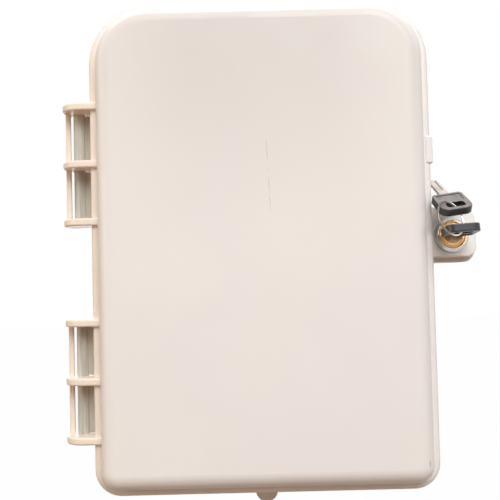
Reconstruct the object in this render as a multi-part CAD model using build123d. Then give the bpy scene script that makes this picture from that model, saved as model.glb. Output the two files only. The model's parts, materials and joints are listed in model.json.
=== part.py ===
from build123d import *
import math
import os

# Wall-hung distribution box for fibre cables, lid closed and key turned to the open position.
# Millimetres. X runs to the right, Z up, and the front faces -Y. The origin is the middle of the
# back, in the plane of the wall. A depth is a distance from the wall towards the front.

# Outline of the rim, with wide corners at the top and tight ones at the bottom
body_width = 210.0
body_height = 302.0
top_corner_r = 38.0
bottom_corner_r = 16.0

# Base moulding
base_depth = 59.5
base_wall = 2.2
base_draft = 1.2
flange_thickness = 3.0
lip_rise = 9.7
back_edge_r = 3.0
back_recess = 2.5
back_border = 8.0
back_rib_width = 4.0
back_spine_width = 14.0
back_rib_spacing = 78.0

# Wall lugs at the top and the bottom
lug_reach = 22.3
lug_half_width = 7.6
lug_thickness = 4.0
lug_hole_r = 2.75
lug_hole_from_tip = 9.0

# Lid moulding
lid_wall = 3.0
lid_gap = 1.0
skirt_clearance = 0.6
skirt_depth = 14.5
rim_edge_r = 2.5
rim_strip = 5.3
dome_rise = 15.0
dome_edge_r = 9.6
dome_root_r = 0.8
channel_rib = 1.3
channel_rib_height = 4.0
lid_rib = 1.4
lid_rib_height = 2.4
lid_rib_spacing = 80.0
bump_length = 17.0
bump_width = 4.7
bump_proud = 1.3
bump_z = 56.0

# Gasket in the lid channel
gasket_clearance = 0.15
gasket_gap = 0.3

# Hooked hinges on the left
barrel_r = 3.5
barrel_clearance = 0.1
hinge_out = 9.2
hinge_pitch = 35.7
upper_hinge_z = 51.9
lower_hinge_z = -81.3
hook_thickness = 4.6
hook_ring = 2.4
hook_mouth = 5.6
hook_front = 3.0
hook_reach = 9.1
hook_edge_r = 1.2
hook_gap = 0.5
bar_gap = 1.4
bar_width = 3.2
bar_depth = 3.0
bar_edge_r = 0.7
bar_behind_axis = 0.2

# Lock ear on the lid and its striker pocket on the base
ear_reach = 28.3
ear_low = -10.4
ear_high = 20.8
ear_corner_r = 7.0
ear_set_back = 7.8
ear_plate = 3.0
ear_wall = 2.5
ear_draft = 0.6
ear_edge_r = 0.9
pocket_margin = 0.5
pocket_drop = 3.0
pocket_depth = 19.7
pocket_wall = 2.2
slot_clearance = 1.3
slot_corner_r = 2.0

# Cam lock
lock_out = 12.3
lock_z = 2.8
lock_lean_up = 6.5
lock_lean_right = 4.0
head_r = 10.6
head_height = 4.5
head_bevel = 1.3
head_recess_r = 8.4
head_recess = 0.7
lock_barrel_r = 8.0
lock_flat = 6.9
lock_hole_clearance = 0.12
lock_barrel_length = 17.5
plug_r = 6.4
plug_clearance = 0.06
plug_proud = 0.5
tail_square = 5.0
cam_clearance = 0.1
cam_thickness = 2.0
cam_width = 9.0
cam_reach = 13.4
cam_crank = 5.8
nut_across_flats = 18.0
nut_thickness = 2.0
cam_screw_r = 1.6
cam_screw_length = 5.0
cam_screw_head_r = 4.0
cam_screw_head = 2.4
key_tilt = 3.5

# Keys and ring
blade_thickness = 2.0
blade_width = 5.8
blade_length = 19.5
blade_groove = 1.4
blade_cut = 1.1
blade_cut_pitch = 3.4
keyway_clearance = 0.1
bow_gap = 6.0
bow_length = 19.0
bow_width = 20.5
bow_neck_width = 19.5
bow_thickness = 5.0
bow_corner_r = 5.0
bow_edge_r = 0.7
bow_panel_depth = 0.5
bow_panel_margin = 2.0
key_slot_length = 12.0
key_slot_width = 5.2
key_slot_inset = 5.2
spare_slot_x = -3.4
spare_slot_z = 12.8
spare_slot_forward = -2.9
spare_axis = (-0.228, 0.785, 0.577)
ring_r = 10.47
ring_wire_r = 0.7
ring_centre_x = -7.7
ring_centre_z = 6.02
ring_centre_forward = 2.96
ring_normal = (0.568, -0.771, 0.286)

# Entry ports in the bottom wall
port_pad_half_width = 88.0
port_pad_outer = 3.0
port_pad_thickness = 4.4
port_pad_near = 14.0
port_pad_far = 46.0
port_depth = 30.0
feeder_port_r = 10.0
feeder_port_x = 66.0
drop_port_r = 4.0
drop_port_count = 8
drop_port_pitch = 13.0
grommet_clearance = 0.1
grommet_lip = 2.2
grommet_flange = 2.0
grommet_cone = 7.0
grommet_cap = 1.4

# Screwed inner parts
post_r = 4.5
post_front = 30.0
pilot_r = 1.5
pilot_depth = 12.0
screw_r = 1.4
screw_length = 9.0
screw_head_r = 2.9
screw_head = 2.0
screw_socket = 0.9
screw_hole_r = 1.7
spool_r = 34.0
spool_wall = 1.8
spool_height = 12.0
spool_gap = 14.0

# Splice tray and what it carries
tray_width = 152.0
tray_height = 122.0
tray_from_top = 20.0
tray_corner_r = 10.0
tray_floor = 1.8
tray_wall = 1.6
tray_depth = 14.0
tray_boss_r = 4.0
tray_screw_inset = 10.0
tray_spool_r = 19.0
tray_spool_x = 45.0
tray_spool_height = 8.0
tray_entry_width = 13.0
tray_entry_x = 46.0
cover_thickness = 1.4
cover_notch_r = 8.0
comb_width = 34.0
comb_height = 40.0
comb_depth = 8.0
comb_grooves = 8
comb_groove_width = 2.4
comb_groove_depth = 5.0
splitter_width = 62.0
splitter_height = 14.0
splitter_depth = 6.0
splitter_z = -40.0

# Adapter panel with its row of adapters
panel_side_gap = 8.0
panel_below_tray = 12.0
panel_height = 21.0
panel_sheet = 2.0
panel_shelf_depth = 34.0
panel_screw_inset = 10.0
panel_gusset = 14.0
adapter_count = 8
adapter_pitch = 20.0
adapter_width = 13.0
adapter_depth = 9.4
adapter_length = 27.0
adapter_flange_width = 17.6
adapter_flange = 2.2
adapter_clearance = 0.2
adapter_socket_width = 9.4
adapter_socket_depth = 7.0
adapter_socket = 3.0
adapter_rib = 0.7
adapter_from_panel = 17.0
cap_length = 9.0
cap_overlap = 2.6
cap_wall = 1.1
cap_clearance = 0.1

# Cable anchors above the feeder ports
anchor_from_bottom = 33.0
anchor_width = 40.0
anchor_height = 14.0
anchor_front = 38.0
anchor_channel_r = 9.0
anchor_screw_x = 14.5
clamp_thickness = 3.0
clamp_tooth = 1.2
clamp_end_r = 5.0

# Tolerance for finding faces and edges by their place
match_tolerance = 0.01

# Depths that follow from the sizes above
flange_back = base_depth - flange_thickness
lip_front = base_depth + lip_rise
skirt_back = base_depth + lid_gap
rim_front = skirt_back + skirt_depth
rim_inside = rim_front - lid_wall
lid_front = rim_front + dome_rise
floor_depth = back_recess + base_wall
ear_front = rim_front - ear_set_back
plug_face = ear_front + head_height + plug_proud
barrel_end = ear_front - lock_barrel_length

# Places that follow from the sizes above
base_inset = lid_wall + skirt_clearance
dome_inside = rim_strip + lid_wall
half_width = body_width / 2
half_height = body_height / 2
hinge_x = -half_width - hinge_out
hinge_depth = flange_back + barrel_r
lock_x = half_width + lock_out
lean_x = math.tan(math.radians(lock_lean_right))
lean_z = math.tan(math.radians(lock_lean_up))
lock_axis = Vector(lean_x, -1, lean_z).normalized()
key_slot_at = plug_face + bow_gap + bow_length - key_slot_inset
ear_right = half_width + ear_reach
lug_tip = half_height + lug_reach
hook_z = [-hinge_pitch, 0.0, hinge_pitch]
hinge_centres = [upper_hinge_z, lower_hinge_z]
adapter_depth_centre = post_front + adapter_from_panel
tray_z = half_height - tray_from_top - tray_height / 2
tray_screw_x = tray_width / 2 - tray_screw_inset
tray_screw_z = tray_height / 2 - tray_screw_inset
panel_half_width = half_width - base_inset - base_draft - base_wall - panel_side_gap
panel_top_z = tray_z - tray_height / 2 - panel_below_tray
panel_shelf_z = panel_top_z - panel_height
panel_screw_x = panel_half_width - panel_screw_inset
panel_screw_z = panel_top_z - panel_screw_inset
anchor_z = anchor_from_bottom - half_height
tray_screws_xz = [(sx * tray_screw_x, tray_z + sz * tray_screw_z) for sx in (-1, 1) for sz in (-1, 1)]
panel_screws_xz = [(sx * panel_screw_x, panel_screw_z) for sx in (-1, 1)]


def at_depth(depth):
    """Plane parallel to the wall at one depth, facing the front."""
    return Plane.XZ.offset(depth)


def outline(inset, depth):
    """Face of the box outline, drawn in from the rim's edge by one inset."""
    face = Rectangle(body_width - 2 * inset, body_height - 2 * inset)
    face = fillet(face.vertices().group_by(Axis.Y)[-1], top_corner_r - inset)
    face = fillet(face.vertices().group_by(Axis.Y)[0], bottom_corner_r - inset)
    return at_depth(depth) * face


def slab(inset, back, front):
    """Straight block of the box outline between two depths."""
    return extrude(outline(inset, back), amount=front - back)


def block(x_range, depth_range, z_range):
    """Plain block between two places along each axis, with depths from the wall."""
    size_x = x_range[1] - x_range[0]
    size_y = depth_range[1] - depth_range[0]
    size_z = z_range[1] - z_range[0]
    centre = (sum(x_range) / 2, -sum(depth_range) / 2, sum(z_range) / 2)
    return Pos(*centre) * Box(size_x, size_y, size_z)


def rod(x, z, back, front, radius):
    """Round rod square to the wall between two depths."""
    return extrude(at_depth(back) * (Pos(x, z) * Circle(radius)), amount=front - back)


def upright(x, depth, low, high, radius):
    """Round rod along Z between two heights."""
    return Pos(x, -depth, (low + high) / 2) * Cylinder(radius, high - low)


def front_edges(solid):
    """Edges round the foremost face of a solid."""
    return solid.faces().sort_by(Axis.Y)[0].edges()


def save(name, shape):
    """Write one node."""
    shape.label = name
    export_step(shape, os.path.join("parts", name + ".step"))


# Base

def make_base():
    """Base moulding with its lip, flange, hinge barrels, striker pocket, ports, posts and lugs."""
    body = loft([outline(base_inset + base_draft, 0), outline(base_inset, base_depth)])
    body = fillet(body.faces().sort_by(Axis.Y)[-1].edges(), back_edge_r)
    body += slab(base_inset, base_depth, lip_front)
    body += slab(0, flange_back, base_depth)
    body += striker_pocket()
    body += wall_lugs()
    inner = base_inset + base_wall
    body -= loft([outline(inner + base_draft, floor_depth), outline(inner, base_depth)])
    body -= slab(inner, base_depth, lip_front)
    body -= back_pockets()
    body += port_pad()
    body -= port_bores()
    body += posts()
    body += slack_spool()
    for centre in hinge_centres:
        body += hinge_barrel(centre)
    return body


def back_pockets():
    """Shallow recess in the back, split by a spine and two cross ribs that meet the wall."""
    pocket = slab(base_inset + base_draft + back_border, 0, back_recess)
    spine = back_spine_width / 2
    pocket -= block((-spine, spine), (0, back_recess), (-half_height, half_height))
    for side in (-1, 1):
        middle = side * back_rib_spacing
        span = (middle - back_rib_width / 2, middle + back_rib_width / 2)
        pocket -= block((-half_width, half_width), (0, back_recess), span)
    return pocket


def wall_lugs():
    """Round-ended lug with a screw hole at the top and another at the bottom."""
    lugs = None
    root = half_height - base_inset - base_draft - back_edge_r - base_wall
    for side in (-1, 1):
        end_z = lug_tip - lug_half_width
        tongue = Pos(0, side * (root + end_z) / 2) * Rectangle(2 * lug_half_width, end_z - root)
        tongue += Pos(0, side * end_z) * Circle(lug_half_width)
        tongue -= Pos(0, side * (lug_tip - lug_hole_from_tip)) * Circle(lug_hole_r)
        lug = extrude(at_depth(0) * tongue, amount=lug_thickness)
        lugs = lug if lugs is None else lugs + lug
    return lugs


def ear_plan(left, right, low, high, corner):
    """Plan of an ear beside the box, with round corners on its free side."""
    face = Pos((left + right) / 2, (low + high) / 2) * Rectangle(right - left, high - low)
    return fillet(face.vertices().group_by(Axis.X)[-1], corner)


def striker_pocket():
    """Closed pocket beside the base that takes the lock's tail, with a slot in its front plate."""
    back = base_depth - pocket_depth
    root = half_width - base_inset - base_draft - base_wall / 2
    right = ear_right + pocket_margin
    low = ear_low - pocket_drop
    high = ear_high + pocket_margin
    pocket = extrude(at_depth(back) * ear_plan(root, right, low, high, ear_corner_r), amount=pocket_depth)
    inner = ear_plan(
        half_width - flange_thickness / 2,
        right - pocket_wall,
        low + pocket_wall,
        high - pocket_wall,
        ear_corner_r - pocket_wall,
    )
    hollow_back = back + pocket_wall
    pocket -= extrude(at_depth(hollow_back) * inner, amount=flange_back - hollow_back)
    middle = lock_point(flange_back)
    slot_low = middle.Z - lock_barrel_r - slot_clearance
    slot_high = middle.Z + cam_reach + slot_clearance
    width = 2 * (lock_barrel_r + slot_clearance)
    slot = Pos(middle.X, (slot_low + slot_high) / 2) * Rectangle(width, slot_high - slot_low)
    slot = fillet(slot.vertices(), slot_corner_r)
    pocket -= extrude(at_depth(flange_back) * slot, amount=flange_thickness)
    return pocket


def port_pad():
    """Thick flat pad in the bottom wall for the entry ports."""
    low = -half_height + port_pad_outer
    return block(
        (-port_pad_half_width, port_pad_half_width),
        (port_pad_near, port_pad_far),
        (low, low + port_pad_thickness),
    )


def ports():
    """Place and radius of each entry port."""
    first = -drop_port_pitch * (drop_port_count - 1) / 2
    drops = [(first + i * drop_port_pitch, drop_port_r) for i in range(drop_port_count)]
    return [(-feeder_port_x, feeder_port_r), (feeder_port_x, feeder_port_r)] + drops


def port_bores():
    """Round bores through the pad and the wall under it."""
    high = -half_height + port_pad_outer + port_pad_thickness + base_draft
    return [upright(x, port_depth, -half_height, high, radius) for x, radius in ports()]


def posts():
    """Screw posts for the splice tray and the adapter panel."""
    group = None
    for x, z in tray_screws_xz + panel_screws_xz:
        post = rod(x, z, floor_depth - base_wall / 2, post_front, post_r)
        post -= rod(x, z, post_front - pilot_depth, post_front, pilot_r)
        group = post if group is None else group + post
    return group


def slack_spool():
    """Ring wall behind the tray for spare fibre, open at four places."""
    ring = rod(0, tray_z, floor_depth - base_wall / 2, floor_depth + spool_height, spool_r)
    ring -= rod(0, tray_z, floor_depth - base_wall / 2, floor_depth + spool_height, spool_r - spool_wall)
    reach = 2 * spool_r
    gap = spool_gap / 2
    depths = (floor_depth, floor_depth + spool_height)
    ring -= block((-reach, reach), depths, (tray_z - gap, tray_z + gap))
    ring -= block((-gap, gap), depths, (tray_z - reach, tray_z + reach))
    inner = rod(0, tray_z, floor_depth - base_wall / 2, floor_depth, spool_r - spool_wall)
    return ring - inner


def hinge_barrel(centre):
    """Round barrel along Z with webs to the flange, left open where the lid's hooks turn."""
    reach = hinge_pitch + hook_thickness / 2
    barrel = upright(hinge_x, hinge_depth, centre - reach, centre + reach, barrel_r)
    clear = hook_thickness / 2 + hook_gap
    for low in (centre - hinge_pitch, centre):
        span = (low + clear, low + hinge_pitch - clear)
        barrel += block((hinge_x, -half_width + base_inset), (flange_back, base_depth), span)
    return barrel


# Lid

def make_lid():
    """Lid moulding: domed face, rim with skirt, gasket channel, hinge hooks, catch bump and lock ear."""
    rim = slab(0, skirt_back, rim_front)
    rim = fillet(front_edges(rim), rim_edge_r)
    dome = slab(rim_strip, rim_inside, lid_front)
    dome = fillet(front_edges(dome), dome_edge_r)
    shell = rim + dome
    flats = shell.faces().filter_by(Axis.Y)
    strip = flats.filter_by(lambda f: abs(f.center().Y + rim_front) < match_tolerance)[0]
    shell = fillet(strip.inner_wires()[0].edges(), dome_root_r)
    shell += catch_bump()
    shell += lock_ear()
    shell -= slab(lid_wall, skirt_back, rim_inside)
    hollow = slab(dome_inside, rim_inside, lid_front - lid_wall)
    shell -= fillet(front_edges(hollow), dome_edge_r - lid_wall)
    channel = slab(dome_inside - channel_rib, rim_inside - channel_rib_height, rim_inside)
    shell += channel - slab(dome_inside, rim_inside - channel_rib_height, rim_inside)
    shell += lid_ribs()
    for centre in hinge_centres:
        shell += hinge_hooks(centre)
    return shell


def lid_ribs():
    """Low stiffening ribs across the inside of the lid's face."""
    front = lid_front - lid_wall / 2
    back = lid_front - lid_wall - lid_rib_height
    side = half_width - dome_inside - dome_edge_r
    end = half_height - dome_inside - dome_edge_r
    ribs = block((-lid_rib / 2, lid_rib / 2), (back, front), (-end, end))
    for step in (-1, 0, 1):
        z = step * lid_rib_spacing
        ribs += block((-side, side), (back, front), (z - lid_rib / 2, z + lid_rib / 2))
    return ribs


def catch_bump():
    """Rounded bump over a catch on the right of the rim."""
    right = half_width + bump_proud
    span = (bump_z - bump_length / 2, bump_z + bump_length / 2)
    bump = block((right - bump_width, right), (skirt_back, rim_front + bump_proud / 2), span)
    return fillet(front_edges(bump) + bump.edges().filter_by(Axis.Y).group_by(Axis.X)[-1], bump_proud * 0.8)


def lock_ear():
    """Ear for the lock: its face leans with the lock, its walls draw out to the back, and it is hollow."""
    left = half_width - lid_wall / 2
    grown = ear_plan(left, ear_right + ear_draft, ear_low - ear_draft, ear_high + ear_draft, ear_corner_r)
    face = ear_plan(left, ear_right, ear_low, ear_high, ear_corner_r)
    ear = loft([at_depth(skirt_back) * grown, on_lean(face, ear_front)])
    rim = front_edges(ear).filter_by(lambda e: e.center().X > left + ear_edge_r)
    ear = fillet(rim, ear_edge_r)
    inner_left = half_width + ear_edge_r
    inner_right = ear_right - ear_wall
    corner = ear_corner_r - ear_wall
    inner = ear_plan(inner_left, inner_right, ear_low + ear_wall, ear_high - ear_wall, corner)
    ear -= loft([at_depth(skirt_back) * inner, on_lean(inner, ear_front - ear_plate)])
    barrel = extrude(barrel_plan(lock_hole_clearance), amount=2 * ear_plate)
    return ear - on_lock(Pos(0, 0, ear_front - 2 * ear_plate) * barrel)


def hook_plan():
    """Plan of one hinge hook round the barrel, drawn with the hinge axis at the origin."""
    front = hinge_depth - rim_front - hook_front
    root = hinge_out + rim_strip + lid_wall / 3
    arc_x = hook_reach * 0.43
    arc_r = arc_x + hook_reach
    ring_r = barrel_r + barrel_clearance + hook_ring
    skirt_x = hinge_out + lid_wall / 2
    back = hinge_depth - skirt_back
    inside = hinge_depth - rim_inside - lid_wall / 2
    outer_line = [
        Line((root, front), (arc_x, front)),
        RadiusArc((arc_x, front), (-hook_reach, front + arc_r), arc_r),
        Polyline(
            (-hook_reach, front + arc_r),
            (-hook_reach, 0.8),
            (-ring_r * 0.6, ring_r * 0.8),
            (ring_r * 0.7, ring_r * 0.7),
            (hinge_out - hook_gap, back),
            (skirt_x, back),
            (skirt_x, inside),
            (root, inside),
            (root, front),
        ),
    ]
    return make_face(outer_line) + Circle(ring_r)


def hinge_hook():
    """One hook: a plate with a bore for the barrel and a mouth that snaps over it from the front."""
    hook = extrude(hook_plan(), amount=hook_thickness / 2, both=True)
    edges = hook.edges().filter_by(lambda e: abs(e.center().Z) > hook_thickness / 2 - match_tolerance)
    outer = edges.filter_by(lambda e: e.center().Y < -hook_reach * 0.7 and e.center().X < hinge_out)
    hook = fillet(outer.filter_by(lambda e: e.length > hook_ring * 2), hook_edge_r)
    hook -= Cylinder(barrel_r + barrel_clearance, 2 * hook_thickness)
    mouth_depth = barrel_r + hook_ring * 2
    return hook - Pos(0, mouth_depth / 2, 0) * Box(hook_mouth, mouth_depth, 2 * hook_thickness)


def hinge_hooks(centre):
    """Three hooks and the bar that joins their outer ends."""
    hook = hinge_hook()
    inner = -barrel_r - bar_gap
    middle = bar_behind_axis - bar_depth / 2
    bar = Pos(inner - bar_width / 2, middle, 0) * Box(bar_width, bar_depth, 2 * hinge_pitch)
    group = fillet(bar.edges().filter_by(Axis.Z), bar_edge_r)
    for z in hook_z:
        group += Pos(0, 0, z) * hook
    return Pos(hinge_x, -hinge_depth, centre) * group


def make_gasket():
    """Soft seal in the lid's channel, which the base's lip meets."""
    outer = lid_wall + gasket_clearance
    inner = dome_inside - channel_rib - gasket_clearance
    back = lip_front + gasket_gap
    return slab(outer, back, rim_inside) - slab(inner, back, rim_inside)


# Lock and keys

def lock_point(depth):
    """Point on the lock's axis, which leans up and to the right, at one depth along it."""
    return Vector(lock_x, -ear_front, lock_z) + lock_axis * (depth - ear_front)


def square_to(origin, normal):
    """Plane square to one direction, its X axis as near to the wall's X axis as it can be."""
    across = Vector(1, 0, 0) - normal * normal.X
    return Plane(origin=origin, x_dir=across, z_dir=normal)


def lean_plane(depth):
    """Plane square to the lock's axis, facing the front."""
    return square_to(lock_point(depth), lock_axis)


def on_lean(face, depth):
    """Put a plan drawn in the wall's X and Z on a plane square to the lock's axis."""
    return lean_plane(depth) * (Pos(-lock_x, -lock_z) * face)


def on_lock(solid):
    """Move a solid drawn about Z, with depths as heights, on to the lock's axis."""
    return lean_plane(0) * solid


def turned(solid):
    """Put a solid drawn about Z on the lock's axis, at the angle at which the key stands."""
    return on_lock(Rot(0, 0, key_tilt) * solid)


def round_bar(radius, back, front):
    """Round bar about Z between two depths."""
    return Pos(0, 0, (back + front) / 2) * Cylinder(radius, front - back)


def barrel_plan(clearance):
    """Round section of the lock's barrel with two flats, grown by a clearance."""
    circle = Circle(lock_barrel_r + clearance)
    return circle & Rectangle(4 * lock_barrel_r, 2 * (lock_flat + clearance))


def make_housing():
    """Lock housing: bevelled round head, a barrel with two flats and a bore for the plug."""
    top = ear_front + head_height
    section = Polyline(
        (0, ear_front),
        (head_r, ear_front),
        (head_r, top - head_bevel),
        (head_r - head_bevel, top),
        (head_recess_r, top),
        (head_recess_r - head_recess, top - head_recess),
        (0, top - head_recess),
        close=True,
    )
    head = revolve(Plane.XZ * make_face(section), Axis.Z)
    barrel = extrude(Pos(0, 0, barrel_end) * barrel_plan(0), amount=lock_barrel_length)
    return on_lock(head + barrel - round_bar(plug_r + plug_clearance, barrel_end, top))


def make_lock_nut():
    """Flat hexagon nut behind the ear plate."""
    hexagon = RegularPolygon(nut_across_flats / 2, 6, major_radius=False)
    hexagon -= barrel_plan(lock_hole_clearance)
    return on_lock(extrude(Pos(0, 0, ear_front - ear_plate - nut_thickness) * hexagon, amount=nut_thickness))


def make_plug():
    """Turning plug with a keyway in its face and a square tail for the cam."""
    plug = round_bar(plug_r, barrel_end, plug_face)
    plug = chamfer(plug.edges().group_by(Axis.Z)[-1], plug_proud)
    tail_back = barrel_end - cam_thickness
    plug += Pos(0, 0, barrel_end - cam_thickness / 2) * Box(tail_square, tail_square, cam_thickness)
    bottom = plug_face + bow_gap - blade_length - 2 * keyway_clearance
    size_x = blade_width + 2 * keyway_clearance
    size_y = blade_thickness + 2 * keyway_clearance
    plug -= Pos(0, 0, (bottom + plug_face) / 2) * Box(size_x, size_y, plug_face - bottom)
    hole_front = tail_back + cam_screw_length + keyway_clearance
    return turned(plug - round_bar(cam_screw_r + cam_clearance, tail_back, hole_front))


def make_cam():
    """Cranked cam on the plug's tail: it reaches forward past the barrel and up through the slot."""
    back = barrel_end - cam_thickness
    crank = lock_barrel_r + slot_clearance / 2
    front = barrel_end + cam_crank
    side = Polyline(
        (-cam_width / 2, back),
        (crank + cam_thickness, back),
        (crank + cam_thickness, front - cam_thickness),
        (cam_reach, front - cam_thickness),
        (cam_reach, front),
        (crank, front),
        (crank, barrel_end),
        (-cam_width / 2, barrel_end),
        close=True,
    )
    lever = extrude(Plane.XZ * make_face(side), amount=cam_width / 2, both=True)
    half = tail_square + 2 * cam_clearance
    lever -= Pos(0, 0, barrel_end - cam_thickness / 2) * Box(half, half, 2 * cam_thickness)
    return turned(Rot(0, 0, 90) * lever)


def pan_screw(head_radius, head_height, shank_radius, length):
    """Pan-head screw along +Z, its head's seat at the origin and a cross recess in the head."""
    head = Pos(0, 0, head_height / 2) * Cylinder(head_radius, head_height)
    head = fillet(head.edges().group_by(Axis.Z)[-1], head_height * 0.45)
    arm = head_radius * 1.1
    for angle in (0, 90):
        slot = Box(arm, screw_socket, head_height)
        head -= Pos(0, 0, head_height) * Rot(0, 0, angle) * slot
    return head + Pos(0, 0, -length / 2) * Cylinder(shank_radius, length)


def make_cam_screw():
    """Screw that holds the cam on the plug's tail."""
    screw = pan_screw(cam_screw_head_r, cam_screw_head, cam_screw_r, cam_screw_length)
    seat = barrel_end - cam_thickness
    return turned(Pos(0, 0, seat) * Rot(180, 0, 0) * screw)


def key_blade():
    """Blade along -Z from the origin, its width along X, milled and cut on both edges."""
    plan = Rectangle(blade_width, blade_length)
    tip = plan.vertices().group_by(Axis.Y)[0]
    plan = Pos(0, -blade_length / 2) * chamfer(tip, blade_width / 3)
    cuts = int((blade_length - 2 * bow_gap) / blade_cut_pitch)
    for i in range(cuts):
        z = -blade_length + blade_width / 2 + i * blade_cut_pitch
        depth = blade_cut * (0.55 + 0.45 * math.cos(2.2 * i))
        for side in (-1, 1):
            notch = Polyline(
                (side * blade_width / 2, z - blade_cut),
                (side * (blade_width / 2 - depth), z),
                (side * blade_width / 2, z + blade_cut),
                close=True,
            )
            plan -= make_face(notch)
    blade = extrude(Plane.XZ * plan, amount=blade_thickness / 2, both=True)
    groove = blade_thickness * 0.3
    for side in (-1, 1):
        cutter = Box(blade_groove, 2 * groove, blade_length - bow_gap)
        place = (side * blade_width / 8, side * blade_thickness / 2, -(blade_length + bow_gap) / 2)
        blade -= Pos(*place) * cutter
    return blade


def key_bow():
    """Moulded bow along +Z from the origin, with a bare sunk panel each side and a ring slot."""
    far = bow_width / 2
    near = bow_neck_width / 2
    plan = make_face(Polyline((-near, 0), (near, 0), (far, bow_length * 0.6), (far, bow_length),
                              (-far, bow_length), (-far, bow_length * 0.6), close=True))
    plan = fillet(plan.vertices().group_by(Axis.Y)[-1], bow_corner_r)
    plan = fillet(plan.vertices().group_by(Axis.Y)[0], bow_corner_r / 2)
    bow = extrude(Plane.XZ * plan, amount=bow_thickness / 2, both=True)
    bow = fillet(bow.faces().filter_by(Axis.Y).edges(), bow_edge_r)
    slot = RectangleRounded(key_slot_length, key_slot_width, key_slot_width / 3)
    slot = Pos(0, bow_length - key_slot_inset) * slot
    bow -= extrude(Plane.XZ * slot, amount=bow_thickness, both=True)
    panel_top = bow_length - key_slot_inset - key_slot_width / 2 - bow_panel_margin
    panel_height = panel_top - bow_panel_margin
    panel = RectangleRounded(bow_neck_width - 2 * bow_panel_margin, panel_height, bow_edge_r)
    panel = Pos(0, (panel_top + bow_panel_margin) / 2) * panel
    for side in (-1, 1):
        offset = side * (bow_thickness / 2 - bow_panel_depth)
        bow -= extrude(Plane.XZ.offset(offset) * panel, amount=side * bow_thickness)
    return bow


def in_lock(solid):
    """Put a key drawn along Z into the lock, with the bow to the front."""
    return turned(Pos(0, 0, plug_face + bow_gap) * solid)


def beside_slot(right, forward, up):
    """Point at some distance from the ring slot of the inserted key."""
    return lock_point(key_slot_at) + Vector(right, -forward, up)


def as_spare(solid):
    """Lay a key drawn along Z on the ring, its blade up and back beside the lid."""
    along = Vector(*spare_axis).normalized()
    slot_at = beside_slot(spare_slot_x, spare_slot_forward, spare_slot_z)
    origin = slot_at + along * (bow_length - key_slot_inset)
    return square_to(origin, along * -1) * solid


def make_ring():
    """Wire ring through the slots of both bows."""
    centre = beside_slot(ring_centre_x, ring_centre_forward, ring_centre_z)
    return Plane(origin=centre, z_dir=ring_normal) * Torus(ring_r, ring_wire_r)


# Entry grommets

def make_grommet(x, port_r):
    """Closed rubber grommet in one port, gripping the pad between an outer lip and an inner flange."""
    low = -half_height + port_pad_outer
    high = low + port_pad_thickness
    waist = port_r - grommet_clearance
    lip = port_r + grommet_lip
    scale = min(1.0, port_r / grommet_cone)
    cone_top = high + grommet_flange + grommet_cone * scale
    face = make_face(Polyline(
        (0, low - grommet_flange),
        (lip - grommet_flange / 2, low - grommet_flange),
        (lip, low - grommet_flange / 2),
        (lip, low),
        (waist, low),
        (waist, high),
        (lip * 0.98, high),
        (lip * 0.98, high + grommet_flange / 2),
        (waist, high + grommet_flange),
        (waist * 0.55, cone_top),
        (0, cone_top),
        close=True,
    ))
    grommet = revolve(Plane.XZ * face, Axis.Z)
    dish = waist * 0.6
    grommet -= Pos(0, 0, low) * Cylinder(dish, 2 * grommet_cap)
    return Pos(x, -port_depth, 0) * grommet


# Splice tray

def tray_plan(inset):
    """Plan of the tray about its own middle."""
    return RectangleRounded(tray_width - 2 * inset, tray_height - 2 * inset, tray_corner_r - inset)


def on_tray(sketch, depth):
    """Put a sketch drawn about the tray's middle at one depth."""
    return at_depth(depth) * (Pos(0, tray_z) * sketch)


def make_tray():
    """Open tray with fibre spools, screw bosses and two entries in its lower wall."""
    front = post_front + tray_depth
    tray = extrude(on_tray(tray_plan(0), post_front), amount=tray_depth)
    tray -= extrude(on_tray(tray_plan(tray_wall), post_front + tray_floor), amount=tray_depth)
    low = tray_z - tray_height / 2
    for side in (-1, 1):
        middle = side * tray_entry_x
        span = (middle - tray_entry_width / 2, middle + tray_entry_width / 2)
        tray -= block(span, (post_front + tray_floor, front), (low - 1, low + tray_wall + 1))
        spool = Circle(tray_spool_r) - Circle(tray_spool_r - tray_wall)
        spool = on_tray(Pos(side * tray_spool_x, 0) * spool, post_front)
        tray += extrude(spool, amount=tray_floor + tray_spool_height)
    for x, z in tray_screws_xz:
        tray += rod(x, z, post_front, front, tray_boss_r)
        tray -= rod(x, z, post_front, front, screw_hole_r)
    return tray


def make_cover():
    """Clear cover on the tray with a finger notch in its upper edge."""
    front = post_front + tray_depth
    plan = tray_plan(0) - Pos(0, tray_height / 2) * Circle(cover_notch_r)
    cover = extrude(on_tray(plan, front), amount=cover_thickness)
    for x, z in tray_screws_xz:
        cover -= rod(x, z, front, front + cover_thickness, screw_hole_r)
    return cover


def make_comb():
    """Block of parallel grooves that holds the splice sleeves."""
    back = post_front + tray_floor
    plan = Rectangle(comb_width, comb_height)
    comb = extrude(on_tray(plan, back), amount=comb_depth)
    pitch = comb_width / comb_grooves
    for i in range(comb_grooves):
        x = -comb_width / 2 + pitch * (i + 0.5)
        span = (x - comb_groove_width / 2, x + comb_groove_width / 2)
        depths = (back + comb_depth - comb_groove_depth, back + comb_depth)
        comb -= block(span, depths, (tray_z - comb_height, tray_z + comb_height))
    return comb


def make_splitter():
    """Flat sealed splitter module on the tray's floor."""
    back = post_front + tray_floor
    plan = Pos(0, splitter_z) * RectangleRounded(splitter_width, splitter_height, tray_wall)
    module = extrude(on_tray(plan, back), amount=splitter_depth)
    return chamfer(front_edges(module), splitter_depth / 6)


def screws_at(places, seat, length):
    """Group of like screws, each square to the wall with its head's seat at one depth."""
    screw = pan_screw(screw_head_r, screw_head, screw_r, length)
    planes = [Plane(origin=(x, -seat, z), x_dir=(1, 0, 0), z_dir=(0, -1, 0)) for x, z in places]
    return Compound(children=[plane * screw for plane in planes])


# Adapter panel

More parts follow.
